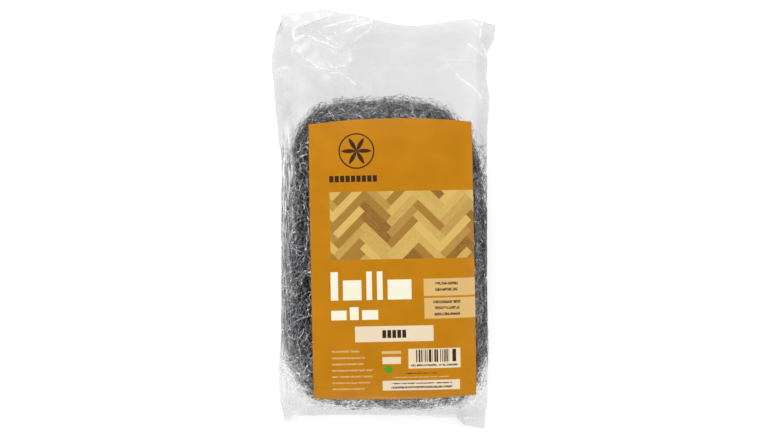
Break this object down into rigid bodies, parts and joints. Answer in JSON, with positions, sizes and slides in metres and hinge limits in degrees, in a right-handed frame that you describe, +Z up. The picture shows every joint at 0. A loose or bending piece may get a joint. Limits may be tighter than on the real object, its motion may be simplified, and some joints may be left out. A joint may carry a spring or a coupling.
{
  "type": "steel wool bundle",
  "caption": "Soft oblong hank of fine steel wool under a printed card, in a clear film bag with a crumpled empty header and a welded hem.",
  "frame": {"origin": "bottom centre of the bounding box, with the pack lying on its back", "axes": "+X across the pack to the right of its front, +Y along it towards the bag's mouth, +Z up through the card"},
  "size_m": [0.1484, 0.2788, 0.0384],
  "materials": {
    "clear_film": "clear glossy film with soft creases",
    "printed_card": "thin printed card, satin",
    "steel_wool": "fine tangled steel strands, mostly lying along the hank"
  },
  "bodies": {
    "root": {"film_bag": "clear_film", "printed_card": "printed_card", "wool_bundle": "steel_wool"}
  },
  "joints": []
}
